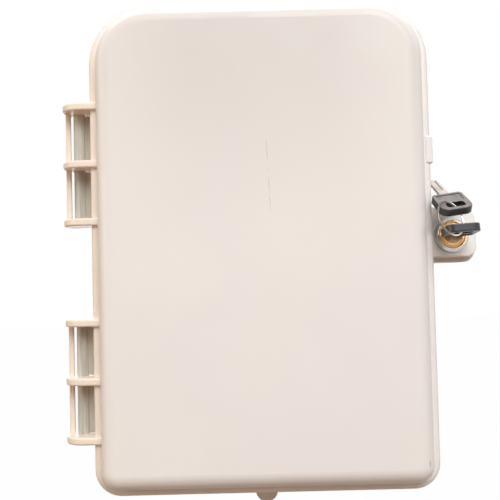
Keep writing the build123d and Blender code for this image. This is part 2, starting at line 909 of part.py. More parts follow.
def adapter_places():
    """Middle of each adapter along X."""
    first = -adapter_pitch * (adapter_count - 1) / 2
    return [first + i * adapter_pitch for i in range(adapter_count)]


def make_panel():
    """Angle panel: a back leg on two posts and a shelf with a cut-out for each adapter."""
    span = (-panel_half_width, panel_half_width)
    leg = block(span, (post_front, post_front + panel_sheet), (panel_shelf_z, panel_top_z))
    corners = leg.edges().filter_by(Axis.Y).group_by(Axis.Z)[-1]
    panel = fillet(corners, post_r)
    depths = (post_front, post_front + panel_shelf_depth)
    shelf = block(span, depths, (panel_shelf_z, panel_shelf_z + panel_sheet))
    panel += fillet(shelf.edges().filter_by(Axis.Z).group_by(Axis.Y)[0], post_r)
    for side in (-1, 1):
        x = side * (panel_half_width - panel_sheet / 2)
        brace = Plane.YZ.offset(x - panel_sheet / 2) * make_face(Polyline(
            (-post_front, panel_shelf_z),
            (-post_front - panel_sheet - panel_gusset, panel_shelf_z),
            (-post_front - panel_sheet, panel_shelf_z + panel_gusset),
            (-post_front, panel_shelf_z + panel_gusset),
            close=True,
        ))
        panel += extrude(brace, amount=panel_sheet)
    half = adapter_width / 2 + adapter_clearance
    reach = adapter_depth / 2 + adapter_clearance
    for x in adapter_places():
        window = (adapter_depth_centre - reach, adapter_depth_centre + reach)
        panel -= block((x - half, x + half), window, (panel_shelf_z - 1, panel_shelf_z + panel_sheet + 1))
    for x, z in panel_screws_xz:
        panel -= rod(x, z, post_front, post_front + panel_sheet, screw_hole_r)
    return panel


def make_adapter(x):
    """One fibre adapter through the shelf: a body with a flange under it and a shuttered socket each end."""
    body = Box(adapter_width, adapter_depth, adapter_length)
    body = fillet(body.edges().filter_by(Axis.Z), adapter_rib)
    top = panel_shelf_z
    flange_at = -adapter_flange / 2
    body += Pos(0, 0, flange_at) * Box(adapter_flange_width, adapter_depth, adapter_flange)
    for end in (-1, 1):
        middle = end * (adapter_length / 2 - adapter_socket / 2)
        body -= Pos(0, 0, middle) * Box(adapter_socket_width, adapter_socket_depth, adapter_socket)
    key = Box(adapter_width / 3, 2 * adapter_rib, adapter_length / 3)
    key = Pos(0, -adapter_depth / 2, adapter_length / 4) * key
    return Pos(x, -adapter_depth_centre, top) * (body - key)


def make_cap(x):
    """Soft dust cap in the lower socket of one adapter."""
    low = panel_shelf_z - adapter_length / 2
    width = adapter_socket_width - 2 * cap_clearance
    depth = adapter_socket_depth - 2 * cap_clearance
    plug = Pos(0, 0, cap_overlap / 2) * Box(width, depth, cap_overlap)
    grip_length = cap_length - cap_overlap
    grip = Pos(0, 0, -grip_length / 2) * Box(width + cap_wall, depth + cap_wall, grip_length)
    grip = fillet(grip.edges().group_by(Axis.Z)[0], cap_wall)
    return Pos(x, -adapter_depth_centre, low) * (plug + grip)


# Cable anchors

def make_anchor(x):
    """Anchor block on the floor with a round-bottomed channel for one feeder cable."""
    base = floor_depth
    plan = Pos(x, anchor_z) * RectangleRounded(anchor_width, anchor_height, screw_head_r)
    anchor = extrude(at_depth(base) * plan, amount=anchor_front - base)
    low = anchor_z - anchor_height
    high = anchor_z + anchor_height
    anchor -= upright(x, port_depth, low, high, anchor_channel_r)
    anchor -= block((x - anchor_channel_r, x + anchor_channel_r), (port_depth, anchor_front), (low, high))
    for side in (-1, 1):
        anchor -= rod(x + side * anchor_screw_x, anchor_z, anchor_front - pilot_depth, anchor_front, pilot_r)
    return anchor


def make_clamp(x):
    """Clamp bar over one channel, with two teeth that bite on the cable's sheath."""
    plan = Pos(x, anchor_z) * RectangleRounded(anchor_width, anchor_height - 2 * clamp_tooth, clamp_end_r)
    bar = extrude(at_depth(anchor_front) * plan, amount=clamp_thickness)
    width = anchor_channel_r * 0.8
    for side in (-1, 1):
        z = anchor_z + side * anchor_height / 5
        tooth = (z - clamp_tooth / 2, z + clamp_tooth / 2)
        bar += block((x - width, x + width), (anchor_front - clamp_tooth, anchor_front), tooth)
        screw_x = x + side * anchor_screw_x
        bar -= rod(screw_x, anchor_z, anchor_front, anchor_front + clamp_thickness, screw_hole_r)
    return bar


def clamp_places():
    """Screw places of both clamp bars."""
    return [(fx + sx * anchor_screw_x, anchor_z) for fx in (-feeder_port_x, feeder_port_x) for sx in (-1, 1)]


def make_all():
    """Build and write every node."""
    save("base_shell", make_base())
    save("lid", make_lid())
    save("lid_gasket", make_gasket())
    save("lock_housing", make_housing())
    save("lock_nut", make_lock_nut())
    save("lock_plug", make_plug())
    save("lock_cam", make_cam())
    save("cam_screw", make_cam_screw())
    save("key_blade", in_lock(key_blade()))
    save("key_bow", in_lock(key_bow()))
    save("spare_key_blade", as_spare(key_blade()))
    save("spare_key_bow", as_spare(key_bow()))
    save("key_ring", make_ring())
    save("splice_tray", make_tray())
    save("splice_tray_cover", make_cover())
    save("splice_comb", make_comb())
    save("splitter_module", make_splitter())
    stack = tray_depth + cover_thickness
    save("tray_screws", screws_at(tray_screws_xz, post_front + stack, stack + screw_length))
    save("adapter_panel", make_panel())
    save("panel_screws", screws_at(panel_screws_xz, post_front + panel_sheet, screw_length))
    for i, x in enumerate(adapter_places(), 1):
        save("adapter_%d" % i, make_adapter(x))
        save("dust_cap_%d" % i, make_cap(x))
    for side, x in (("left", -feeder_port_x), ("right", feeder_port_x)):
        save("cable_anchor_" + side, make_anchor(x))
        save("clamp_bar_" + side, make_clamp(x))
        save("feeder_grommet_" + side, make_grommet(x, feeder_port_r))
    save("clamp_screws", screws_at(clamp_places(), anchor_front + clamp_thickness, screw_length))
    for i, (x, radius) in enumerate(ports()[2:], 1):
        save("drop_grommet_%d" % i, make_grommet(x, radius))


os.makedirs("parts", exist_ok=True)
make_all()
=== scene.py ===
import json
import logging
import math
from dataclasses import dataclass, field
from enum import Enum
from typing import Mapping, Optional, Union

import bmesh
import bpy
from mathutils import Color, Matrix, Vector


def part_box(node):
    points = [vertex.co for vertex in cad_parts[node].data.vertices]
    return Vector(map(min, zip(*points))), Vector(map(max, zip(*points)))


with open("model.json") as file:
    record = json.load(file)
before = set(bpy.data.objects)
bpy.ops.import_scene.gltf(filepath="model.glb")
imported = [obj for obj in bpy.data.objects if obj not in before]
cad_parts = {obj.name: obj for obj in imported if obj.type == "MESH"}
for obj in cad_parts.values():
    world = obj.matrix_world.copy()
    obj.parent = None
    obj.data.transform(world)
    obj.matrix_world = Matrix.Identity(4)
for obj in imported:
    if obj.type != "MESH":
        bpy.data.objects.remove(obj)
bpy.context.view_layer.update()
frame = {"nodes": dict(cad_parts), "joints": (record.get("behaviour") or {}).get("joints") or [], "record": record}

log = logging.getLogger("distribution_box")

Colour = tuple[float, float, float]
Triple = tuple[float, float, float]
Key = Union[int, str]
Setting = Union[str, bool, int, float, list]

WHITE: Colour = (1.0, 1.0, 1.0)
SCREEN_FULL = 255
PLASTIC_IOR = 1.49
RUBBER_IOR = 1.5
NOISE_MEAN = 0.5

# The Mix node's sockets for colours, by number, because its names repeat.
MIX_SHARE, MIX_FIRST, MIX_SECOND, MIX_RESULT = 0, 6, 7, 2

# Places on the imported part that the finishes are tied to, in metres.
JOINTS = {joint["name"]: joint for joint in frame["joints"]}
LID_LOW, LID_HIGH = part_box("lid")
RING_LOW, RING_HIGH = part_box("key_ring")
FACE_Y = LID_LOW[1]
TOP_Z = LID_HIGH[2]
HINGE_X = JOINTS["lid_hinge"]["pos_m"][0]
LOCK_MIDDLE: Triple = tuple(JOINTS["lock_turn"]["pos_m"])
LOCK_AXIS: Triple = tuple(JOINTS["lock_turn"]["axis"])


def from_screen(red: int, green: int, blue: int) -> Colour:
    """Turn a colour as a screen shows it into the linear values that shaders take.

    Args:
        red: Red, 0 to 255.
        green: Green, 0 to 255.
        blue: Blue, 0 to 255.

    Returns:
        The linear red, green and blue.
    """
    shown = Color((red / SCREEN_FULL, green / SCREEN_FULL, blue / SCREEN_FULL))
    return tuple(shown.from_srgb_to_scene_linear())


class Wire:
    """A node's output; arithmetic on it adds Math nodes to the same graph."""

    def __init__(self, graph: "Graph", socket: bpy.types.NodeSocket) -> None:
        """Keep the graph and the socket."""
        self.graph = graph
        self.socket = socket

    def _step(self, operation: str, first: "Feed", second: "Feed" = 0.0) -> "Wire":
        """Add one Math node.

        Args:
            operation: The Math node's operation.
            first: Its first value or link.
            second: Its second value or link, where the operation takes one.

        Returns:
            The node's result.
        """
        return self.graph.wire("ShaderNodeMath", {"operation": operation}, {0: first, 1: second})

    def __add__(self, other: "Feed") -> "Wire":
        """Sum."""
        return self._step("ADD", self, other)

    def __radd__(self, other: "Feed") -> "Wire":
        """Sum, reflected."""
        return self._step("ADD", other, self)

    def __sub__(self, other: "Feed") -> "Wire":
        """Difference."""
        return self._step("SUBTRACT", self, other)

    def __rsub__(self, other: "Feed") -> "Wire":
        """Difference, reflected."""
        return self._step("SUBTRACT", other, self)

    def __mul__(self, other: "Feed") -> "Wire":
        """Product."""
        return self._step("MULTIPLY", self, other)

    def __rmul__(self, other: "Feed") -> "Wire":
        """Product, reflected."""
        return self._step("MULTIPLY", other, self)

    def size(self) -> "Wire":
        """The value without its sign."""
        return self._step("ABSOLUTE", self)

    def sine(self) -> "Wire":
        """The sine of the value in radians."""
        return self._step("SINE", self)

    def most(self, other: "Feed") -> "Wire":
        """The larger of two values."""
        return self._step("MAXIMUM", self, other)

    def ramp(self, start: float, full: float) -> "Wire":
        """Rise smoothly from 0 at one value to 1 at another.

        Args:
            start: The value that gives 0.
            full: The value that gives 1, which may be the lower of the two.

        Returns:
            The share, held between 0 and 1.
        """
        return self.graph.wire(
            "ShaderNodeMapRange",
            {"interpolation_type": "SMOOTHSTEP"},
            {"Value": self, "From Min": start, "From Max": full},
        )


Feed = Union[Wire, float, tuple]


class Graph:
    """The nodes of one material or of the world."""

    def __init__(self, tree: bpy.types.NodeTree) -> None:
        """Empty the tree and keep it."""
        self.tree = tree
        self.tree.nodes.clear()

    def node(
        self,
        kind: str,
        settings: Optional[Mapping[str, Setting]] = None,
        sockets: Optional[Mapping[Key, Feed]] = None,
    ) -> bpy.types.Node:
        """Add a node, set it up, then fill its sockets.

        Args:
            kind: The node's type.
            settings: Its own settings; "stops" holds a ramp's (place, colour) pairs.
            sockets: Values or links by socket name or number.

        Returns:
            The new node.
        """
        node = self.tree.nodes.new(kind)
        for name, value in (settings or {}).items():
            if name == "stops":
                self._set_stops(node, value)
            else:
                setattr(node, name, value)
        for key, value in (sockets or {}).items():
            socket = node.inputs[key]
            if isinstance(value, Wire):
                self.tree.links.new(value.socket, socket)
            elif isinstance(value, tuple) and len(socket.default_value) == 4:
                socket.default_value = (*value, 1.0)
            else:
                socket.default_value = value
        return node

    @staticmethod
    def _set_stops(node: bpy.types.Node, stops: list) -> None:
        """Set a colour ramp's stops.

        Args:
            node: The ramp.
            stops: Pairs of place and colour, lowest first.
        """
        elements = node.color_ramp.elements
        while len(elements) < len(stops):
            elements.new(0.5)
        for element, (place, colour) in zip(elements, stops):
            element.position = place
            element.color = (*colour, 1.0)

    def wire(
        self,
        kind: str,
        settings: Optional[Mapping[str, Setting]] = None,
        sockets: Optional[Mapping[Key, Feed]] = None,
        output: Key = 0,
    ) -> Wire:
        """Add a node and return one of its outputs.

        Args:
            kind: The node's type.
            settings: Its own settings.
            sockets: Values or links by socket name or number.
            output: The output's number or name.

        Returns:
            The output.
        """
        return Wire(self, self.node(kind, settings, sockets).outputs[output])

    def place(self) -> Wire:
        """The point on the piece, in metres from the object's origin."""
        return self.wire("ShaderNodeTexCoord", output="Object")

    def parts(self, vector: Wire) -> tuple[Wire, Wire, Wire]:
        """Split a vector.

        Args:
            vector: The vector.

        Returns:
            Its X, Y and Z.
        """
        node = self.node("ShaderNodeSeparateXYZ", sockets={0: vector})
        return Wire(self, node.outputs[0]), Wire(self, node.outputs[1]), Wire(self, node.outputs[2])

    def vector_math(self, operation: str, first: Feed, second: Feed = (0.0, 0.0, 0.0)) -> Wire:
        """Add one Vector Math node.

        Args:
            operation: The node's operation.
            first: Its first vector or link.
            second: Its second vector or link, where the operation takes one.

        Returns:
            The result, a number for a length or a dot product and a vector otherwise.
        """
        output = "Value" if operation in ("LENGTH", "DOT_PRODUCT") else "Vector"
        sockets = {0: first, 1: second}
        return self.wire("ShaderNodeVectorMath", {"operation": operation}, sockets, output)

    def blend(self, share: Feed, first: Feed, second: Feed) -> Wire:
        """Mix two colours.

        Args:
            share: How much of the second, 0 to 1.
            first: The first colour.
            second: The second colour.

        Returns:
            The mixed colour.
        """
        sockets = {MIX_SHARE: share, MIX_FIRST: first, MIX_SECOND: second}
        return self.wire("ShaderNodeMix", {"data_type": "RGBA"}, sockets, MIX_RESULT)

    def relief(self, height: Feed, distance: float, under: Optional[Wire] = None) -> Wire:
        """Turn a height into a bumped normal.

        Args:
            height: The height's pattern, 0 to 1.
            distance: The depth of the relief in metres.
            under: A bumped normal to build on.

        Returns:
            The normal.
        """
        sockets: dict[Key, Feed] = {"Strength": 1.0, "Distance": distance, "Height": height}
        if under is not None:
            sockets["Normal"] = under
        return self.wire("ShaderNodeBump", sockets=sockets)


@dataclass(frozen=True)
class Pattern:
    """A soft noise over the piece, and the values between which it shows as a mask.

    The scale is in waves a metre and the detail in octaves. A small stretch along an axis draws
    the noise out that way.
    """

    scale: float
    detail: float = 3.0
    start: float = 0.0
    full: float = 1.0
    stretch: Triple = (1.0, 1.0, 1.0)

    def noise(self, graph: Graph) -> Wire:
        """Add the noise.

        Args:
            graph: The material's graph.

        Returns:
            The noise, about NOISE_MEAN on average.
        """
        point = {"Vector": graph.place(), "Scale": self.stretch}
        where = graph.wire("ShaderNodeMapping", sockets=point)
        sockets = {"Vector": where, "Scale": self.scale, "Detail": self.detail}
        return graph.wire("ShaderNodeTexNoise", sockets=sockets)

    def mask(self, graph: Graph) -> Wire:
        """Add the noise and fade it in.

        Args:
            graph: The material's graph.

        Returns:
            The mask, 0 to 1.
        """
        return self.noise(graph).ramp(self.start, self.full)


class Slot(Enum):
    """The record's material slots, apart from the shells', which have a finish each."""

    GASKET = "gasket_rubber"
    LOCK = "lock_metal"
    BRASS = "plug_brass"
    ZINC = "zinc_steel"
    SCREW = "screw_steel"
    KEY_METAL = "key_metal"
    KEY_PLASTIC = "key_plastic"
    RING = "ring_metal"
    TRAY = "tray_plastic"
    COVER = "cover_plastic"
    COMB = "comb_rubber"
    MODULE = "module_plastic"
    PANEL = "panel_plastic"
    ADAPTER = "adapter_plastic"
    CAP = "cap_rubber"
    GROMMET = "grommet_rubber"


@dataclass(frozen=True)
class Finish:
    """What every finish has: a name, a colour and a way to make its material."""

    name: str
    colour: Colour

    def material(self) -> bpy.types.Material:
        """Make the material.

        Returns:
            The finished material.
        """
        material = bpy.data.materials.new(self.name)
        material.use_nodes = True
        graph = Graph(material.node_tree)
        output = graph.node("ShaderNodeOutputMaterial")
        shader = graph.node("ShaderNodeBsdfPrincipled", sockets=self.sockets(graph))
        graph.tree.links.new(shader.outputs[0], output.inputs["Surface"])
        material.diffuse_color = (*self.colour, 1.0)
        return material

    def sockets(self, graph: Graph) -> dict[Key, Feed]:
        """Work out what the shader's sockets take.

        Args:
            graph: The material's graph.

        Returns:
            Values and links by socket name.
        """
        raise NotImplementedError


@dataclass(frozen=True)
class Moulding(Finish):
    """Injection-moulded plastic with a fine eroded grain, soft clouds of shade and rubbed areas."""

    roughness: float = 0.42
    grain_scale: float = 2400.0
    grain_depth: float = 0.00002
    grain_detail: float = 2.0
    sink: Pattern = Pattern(14.0, 1.0)
    sink_depth_in_grains: float = 2.5
    cloud: float = 0.04
    clouds: Pattern = Pattern(16.0, 4.0, 0.3, 0.7)
    soil: Colour = (0.30, 0.24, 0.18)
    soil_share: float = 0.05
    specks: Pattern = Pattern(620.0, 2.0, 0.70, 0.82)
    rubbed: Pattern = Pattern(45.0, 5.0, 0.35, 0.75)
    rubbed_spread: float = 0.16
    coat: float = 0.0
    coat_roughness: float = 0.12

    def tone(self, graph: Graph) -> Wire:
        """The plastic's colour over the piece.

        Args:
            graph: The material's graph.

        Returns:
            The colour.
        """
        dark = tuple(value * (1 - 2 * self.cloud) for value in self.colour)
        base = graph.blend(self.clouds.mask(graph), dark, self.colour)
        return graph.blend(self.specks.mask(graph) * self.soil_share, base, self.soil)

    def height(self, graph: Graph) -> Wire:
        """The grain's normal over the piece.

        Args:
            graph: The material's graph.

        Returns:
            The bumped normal.
        """
        sink_depth = self.grain_depth * self.sink_depth_in_grains
        sink = graph.relief(self.sink.noise(graph), sink_depth)
        grain = Pattern(self.grain_scale, self.grain_detail)
        return graph.relief(grain.noise(graph), self.grain_depth, sink)

    def sockets(self, graph: Graph) -> dict[Key, Feed]:
        """Work out what the shader's sockets take.

        Args:
            graph: The material's graph.

        Returns:
            Values and links by socket name.
        """
        smoothest = self.roughness - self.rubbed_spread / 2
        return {
            "Base Color": self.tone(graph),
            "Roughness": smoothest + self.rubbed.mask(graph) * self.rubbed_spread,
            "Coat Weight": self.coat,
            "Coat Roughness": self.coat_roughness,
            "IOR": PLASTIC_IOR,
            "Normal": self.height(graph),
        }


@dataclass(frozen=True)
class ShellPlastic(Moulding):
    """The shells' plastic, with painted shade darker up the face, a painted highlight nearly white along the top
    at the front, and painted light and shade near the hinges.
    """

    cloud: float = 0.012
    drift: Pattern = Pattern(9.0, 2.0, 0.38, 0.62)
    drift_share: float = 0.35
    blush: Colour = (0.86, 0.81, 0.81)
    cream: Colour = (0.865, 0.835, 0.79)
    # Painted light near the hinges: a warm tone for the warm light on the lid's side by the hinges; the base sets
    # a grey painted shade here instead.
    hinge_painted_light_and_shade: Colour = (0.92, 0.76, 0.60)
    hinge_share: float = 0.62
    hinge_start: float = HINGE_X + 0.0192
    hinge_full: float = HINGE_X + 0.0082
    face_start: float = FACE_Y + 0.0020
    face_full: float = FACE_Y + 0.0008
    # Painted shade: the front face is painted darker towards the top, less so away from the middle.
    shade: Colour = (0.60, 0.56, 0.53)
    shade_share: float = 0.66
    shade_start: float = TOP_Z - 0.161
    shade_wander: float = 0.02
    shade_inner: float = 0.030
    shade_outer: float = 0.105
    shade_loss: float = 0.55
    # Painted highlight: the top rounding at the front is painted nearly white, where light from above falls on it.
    painted_highlight: Colour = (0.93, 0.93, 0.92)
    painted_highlight_share: float = 1.0
    painted_highlight_start: float = TOP_Z - 0.022
    painted_highlight_full: float = TOP_Z - 0.014
    rim_start: float = FACE_Y + 0.0130
    rim_full: float = FACE_Y + 0.0110

    def near_hinge(self, across: Wire) -> Wire:
        """How near a point is to the hinges, 0 to 1."""
        return across.ramp(self.hinge_start, self.hinge_full)

    def on_face(self, depth: Wire) -> Wire:
        """Whether a point is on the front face, 0 to 1."""
        return depth.ramp(self.face_start, self.face_full)

    def tone(self, graph: Graph) -> Wire:
        """The plastic's colour over the piece.

        Args:
            graph: The material's graph.

        Returns:
            The colour.
        """
        across, depth, up = graph.parts(graph.place())
        drift = self.drift.noise(graph)
        hue = graph.blend(drift.ramp(self.drift.start, self.drift.full), self.blush, self.cream)
        base = graph.blend(self.drift_share, super().tone(graph), hue)
        # Painted light and shade near the hinges.
        base = graph.blend(self.near_hinge(across) * self.hinge_share, base, self.hinge_painted_light_and_shade)
        # Painted shade, darker towards the top of the front face.
        face = self.on_face(depth)
        middle = 1.0 - across.size().ramp(self.shade_inner, self.shade_outer) * self.shade_loss
        rise = (up + drift * self.shade_wander).ramp(self.shade_start, TOP_Z)
        base = graph.blend(rise * middle * face * self.shade_share, base, self.shade)
        # Painted highlight, nearly white on the top rounding at the front.
        top_edge = up.ramp(self.painted_highlight_start, self.painted_highlight_full) * (1.0 - face)
        front_edge = depth.ramp(self.rim_start, self.rim_full)
        return graph.blend(top_edge * front_edge * self.painted_highlight_share, base, self.painted_highlight)


@dataclass(frozen=True)
class LidPlastic(ShellPlastic):
    """The shells' plastic with the lid's own marks: a long fine broken scratch and a chip."""

    scratch_x: float = 0.0043
    scratch_low: float = 0.0178
    scratch_high: float = 0.0629
    scratch_slant: float = 0.029
    scratch_wander: float = 0.0009
    scratch_outer: float = 0.000374
    scratch_inner: float = 0.000068
    scratch_taper: float = 0.86
    scratch_depth: float = 0.00012
    scratch_tone: Colour = (0.52, 0.42, 0.34)
    scratch_share: float = 0.42
    wander: Pattern = Pattern(60.0, 2.0)
    breaks: Pattern = Pattern(180.0, 2.0, 0.34, 0.52)
    chip_x: float = 0.0957
    chip_z: float = -0.1332
    chip_half_width: tuple[float, float] = (0.0007, 0.0003)
    chip_half_height: tuple[float, float] = (0.0024, 0.0014)
    chip_depth: tuple[float, float] = (FACE_Y + 0.006, FACE_Y + 0.004)
    chip_tone: Colour = (0.46, 0.38, 0.32)
    chip_share: float = 0.55

    def scratch(self, graph: Graph) -> Wire:
        """Where the scratch is.

        Args:
            graph: The material's graph.

        Returns:
            A mask, 1 in the scratch.
        """
        across, depth, up = graph.parts(graph.place())
        along = up - (self.scratch_low + self.scratch_high) / 2
        half = (self.scratch_high - self.scratch_low) / 2
        wander = (self.wander.noise(graph) - NOISE_MEAN) * self.scratch_wander
        off_line = (across - self.scratch_x + along * self.scratch_slant + wander).size()
        line = off_line.ramp(self.scratch_outer, self.scratch_inner)
        span = along.size().ramp(half, half * self.scratch_taper)
        return line * span * self.breaks.mask(graph) * self.on_face(depth)

    def chip(self, graph: Graph) -> Wire:
        """Where the small dark chip near the lower right corner is.

        Args:
            graph: The material's graph.

        Returns:
            A mask, 1 in the chip.
        """
        across, depth, up = graph.parts(graph.place())
        side = (across - self.chip_x).size().ramp(*self.chip_half_width)
        length = (up - self.chip_z).size().ramp(*self.chip_half_height)
        return side * length * depth.ramp(*self.chip_depth)

    def tone(self, graph: Graph) -> Wire:
        """The plastic's colour over the lid.

        Args:
            graph: The material's graph.

        Returns:
            The colour.
        """
        scratch = self.scratch(graph) * self.scratch_share
        base = graph.blend(scratch, super().tone(graph), self.scratch_tone)
        return graph.blend(self.chip(graph) * self.chip_share, base, self.chip_tone)

    def height(self, graph: Graph) -> Wire:
        """The grain's normal with the scratch cut into it.

        Args:
            graph: The material's graph.

        Returns:
            The bumped normal.
        """
        uncut = 1.0 - self.scratch(graph)
        return graph.relief(uncut, self.scratch_depth, super().height(graph))


@dataclass(frozen=True)
class BasePlastic(ShellPlastic):
    """The shells' plastic with painted shade on the hinge barrels: greyed, and streaked darker along their length,
    where they sit deep in the hinge recesses.
    """

    # Painted shade: the hinge barrels greyed, deep in the hinge recesses.
    hinge_painted_light_and_shade: Colour = (0.52, 0.51, 0.45)
    hinge_share: float = 0.8
    hinge_start: float = HINGE_X + 0.009
    hinge_full: float = HINGE_X + 0.008
    painted_streak_shade: Colour = (0.16, 0.15, 0.12)
    painted_streak_shade_share: float = 0.45
    shade_streaks: Pattern = Pattern(260.0, 3.0, 0.44, 0.66, (1.0, 1.0, 0.06))

    def tone(self, graph: Graph) -> Wire:
        """The plastic's colour over the base.

        Args:
            graph: The material's graph.

        Returns:
            The colour.
        """
        across, _, _ = graph.parts(graph.place())
        # Painted shade in darker vertical bands on the hinge barrels.
        painted_streak_shade = self.near_hinge(across) * self.shade_streaks.mask(graph) * self.painted_streak_shade_share
        return graph.blend(painted_streak_shade, super().tone(graph), self.painted_streak_shade)


@dataclass(frozen=True)
class KeyBow(Moulding):
    """Black key plastic, with a painted grey sheen, in patches, on the faces that look up."""

    # Painted sheen: grey where the faces look up towards the light.
    painted_sheen: Colour = (0.31, 0.28, 0.27)
    painted_sheen_share: float = 0.85
    sheen_least: float = 0.65
    sheen_patches: Pattern = Pattern(260.0, 4.0, 0.25, 0.6)
    tilt_start: float = 0.25
    tilt_full: float = 0.65

    def tone(self, graph: Graph) -> Wire:
        """The plastic's colour over the bow.

        Args:
            graph: The material's graph.

        Returns:
            The colour.
        """
        _, _, up = graph.parts(graph.wire("ShaderNodeNewGeometry", output="Normal"))
        patches = self.sheen_patches.mask(graph) * (1 - self.sheen_least) + self.sheen_least
        # Painted sheen on the faces that look up.
        sheen_mask = up.ramp(self.tilt_start, self.tilt_full) * patches * self.painted_sheen_share
        return graph.blend(sheen_mask, super().tone(graph), self.painted_sheen)


@dataclass(frozen=True)
class Rubber(Finish):
    """Soft rubber with a matt, faintly mottled skin."""

    roughness: float = 0.72
    mottle: float = 0.35
    bloom: float = 0.12
    patches: Pattern = Pattern(140.0, 4.0, 0.42, 0.72)
    patch_gloss: float = 0.08
    patch_spread: float = 0.14
    pores: Pattern = Pattern(3200.0, 2.0)
    pore_depth: float = 0.00003

    def sockets(self, graph: Graph) -> dict[Key, Feed]:
        """Work out what the shader's sockets take.

        Args:
            graph: The material's graph.

        Returns:
            Values and links by socket name.
        """
        pale = tuple(value + (1 - value) * self.bloom * self.mottle for value in self.colour)
        patch = self.patches.mask(graph)
        return {
            "Base Color": graph.blend(patch, self.colour, pale),
            "Roughness": self.roughness - self.patch_gloss + patch * self.patch_spread,
            "IOR": RUBBER_IOR,
            "Normal": graph.relief(self.pores.noise(graph), self.pore_depth),
        }


@dataclass(frozen=True)
class Metal(Finish):
    """Plated or bare metal with fine drawn lines, dull patches and tarnish."""

    roughness: float = 0.3
    lines: Pattern = Pattern(900.0, 4.0)
    line_depth: float = 0.00001
    line_spread: float = 0.12
    dull: Pattern = Pattern(130.0, 5.0, 0.48, 0.72)
    dull_spread: float = 0.12
    tarnish: Colour = (0.30, 0.26, 0.22)
    tarnish_share: float = 0.25

    def plated(self, graph: Graph, dull: Wire) -> Wire:
        """The metal's colour with its tarnish.

        Args:
            graph: The material's graph.
            dull: Where the metal is dull, 0 to 1.

        Returns:
            The colour.
        """
        return graph.blend(dull * self.tarnish_share, self.colour, self.tarnish)

    def sockets(self, graph: Graph) -> dict[Key, Feed]:
        """Work out what the shader's sockets take.

        Args:
            graph: The material's graph.

        Returns:
            Values and links by socket name.
        """
        lines = self.lines.noise(graph)
        dull = self.dull.mask(graph)
        worn = (lines - NOISE_MEAN) * self.line_spread + dull * self.dull_spread
        return {
            "Base Color": self.plated(graph, dull),
            "Metallic": 1.0,
            "Roughness": self.roughness + worn,
            "Normal": graph.relief(lines, self.line_depth),
        }


@dataclass(frozen=True)
class LockHead(Metal):
    """The lock's plated head, with bare brass turned away inside its rim.

    In front of the lid's ear, a point's place along the axis is less than the seat.
    """

    line_depth: float = 0.00004
    line_spread: float = 0.08
    line_height: float = 0.2
    dull_spread: float = 0.14
    rim_radius: float = 0.0089
    rim_blur: float = 0.0001
    seat: float = 0.0004
    seat_blur: float = 0.0002
    brass: Colour = (0.84, 0.55, 0.27)
    brass_dark: Colour = (0.24, 0.12, 0.05)
    brass_spread: float = 0.10
    grime: Pattern = Pattern(240.0, 4.0, 0.50, 0.72)
    grime_share: float = 0.7
    turning_pitch: float = 0.0011
    turning_share: float = 0.3

    @staticmethod
    def on_axis(graph: Graph) -> tuple[Wire, Wire]:
        """Where a point lies about the lock's axis.

        Args:
            graph: The material's graph.

        Returns:
            The distance from the axis and the place along it, in metres.
        """
        offset = graph.vector_math("SUBTRACT", graph.place(), LOCK_MIDDLE)
        square = graph.vector_math("CROSS_PRODUCT", offset, LOCK_AXIS)
        radius = graph.vector_math("LENGTH", square)
        return radius, graph.vector_math("DOT_PRODUCT", offset, LOCK_AXIS)

    def sockets(self, graph: Graph) -> dict[Key, Feed]:
        """Work out what the shader's sockets take.

        Args:
            graph: The material's graph.

        Returns:
            Values and links by socket name.
        """
        radius, along = self.on_axis(graph)
        in_front = along.ramp(self.seat + self.seat_blur, self.seat)
        in_rim = radius.ramp(self.rim_radius + self.rim_blur, self.rim_radius - self.rim_blur)
        inside = in_rim * in_front
        turned = (radius * (2 * math.pi / self.turning_pitch)).sine() * 0.5 + 0.5
        soiled = (self.grime.mask(graph) * self.grime_share).most(turned * self.turning_share)
        bare = graph.blend(soiled, self.brass, self.brass_dark)
        dull = self.dull.mask(graph)
        lines = self.lines.noise(graph)
        worn = (lines - NOISE_MEAN) * self.line_spread + dull * self.dull_spread
        return {
            "Base Color": graph.blend(inside, self.plated(graph, dull), bare),
            "Metallic": 1.0,
            "Roughness": self.roughness + inside * self.brass_spread + worn,
            "Normal": graph.relief(turned * inside + lines * self.line_height, self.line_depth),
        }


@dataclass(frozen=True)
class RingWire(Metal):
    """Bright key-ring wire, dull and dark towards the left."""

    bright_x: float = RING_HIGH[0] - 0.0041
    dull_x: float = RING_LOW[0] + 0.0065
    dull_tone: Colour = (0.20, 0.18, 0.165)
    dull_spread: float = 0.3
    marks: Pattern = Pattern(500.0, 3.0)
    mark_reach: float = 0.004
    mark_spread: float = 0.06

    def sockets(self, graph: Graph) -> dict[Key, Feed]:
        """Work out what the shader's sockets take.

        Args:
            graph: The material's graph.

        Returns:
            Values and links by socket name.
        """
        across, _, _ = graph.parts(graph.place())
        marks = self.marks.noise(graph)
        uneven = marks - NOISE_MEAN
        dull = (across + uneven * self.mark_reach).ramp(self.bright_x, self.dull_x)
        return {
            "Base Color": graph.blend(dull, self.colour, self.dull_tone),
            "Metallic": 1.0,
            "Roughness": self.roughness + dull * self.dull_spread + uneven * self.mark_spread,
            "Normal": graph.relief(marks, self.line_depth),
        }


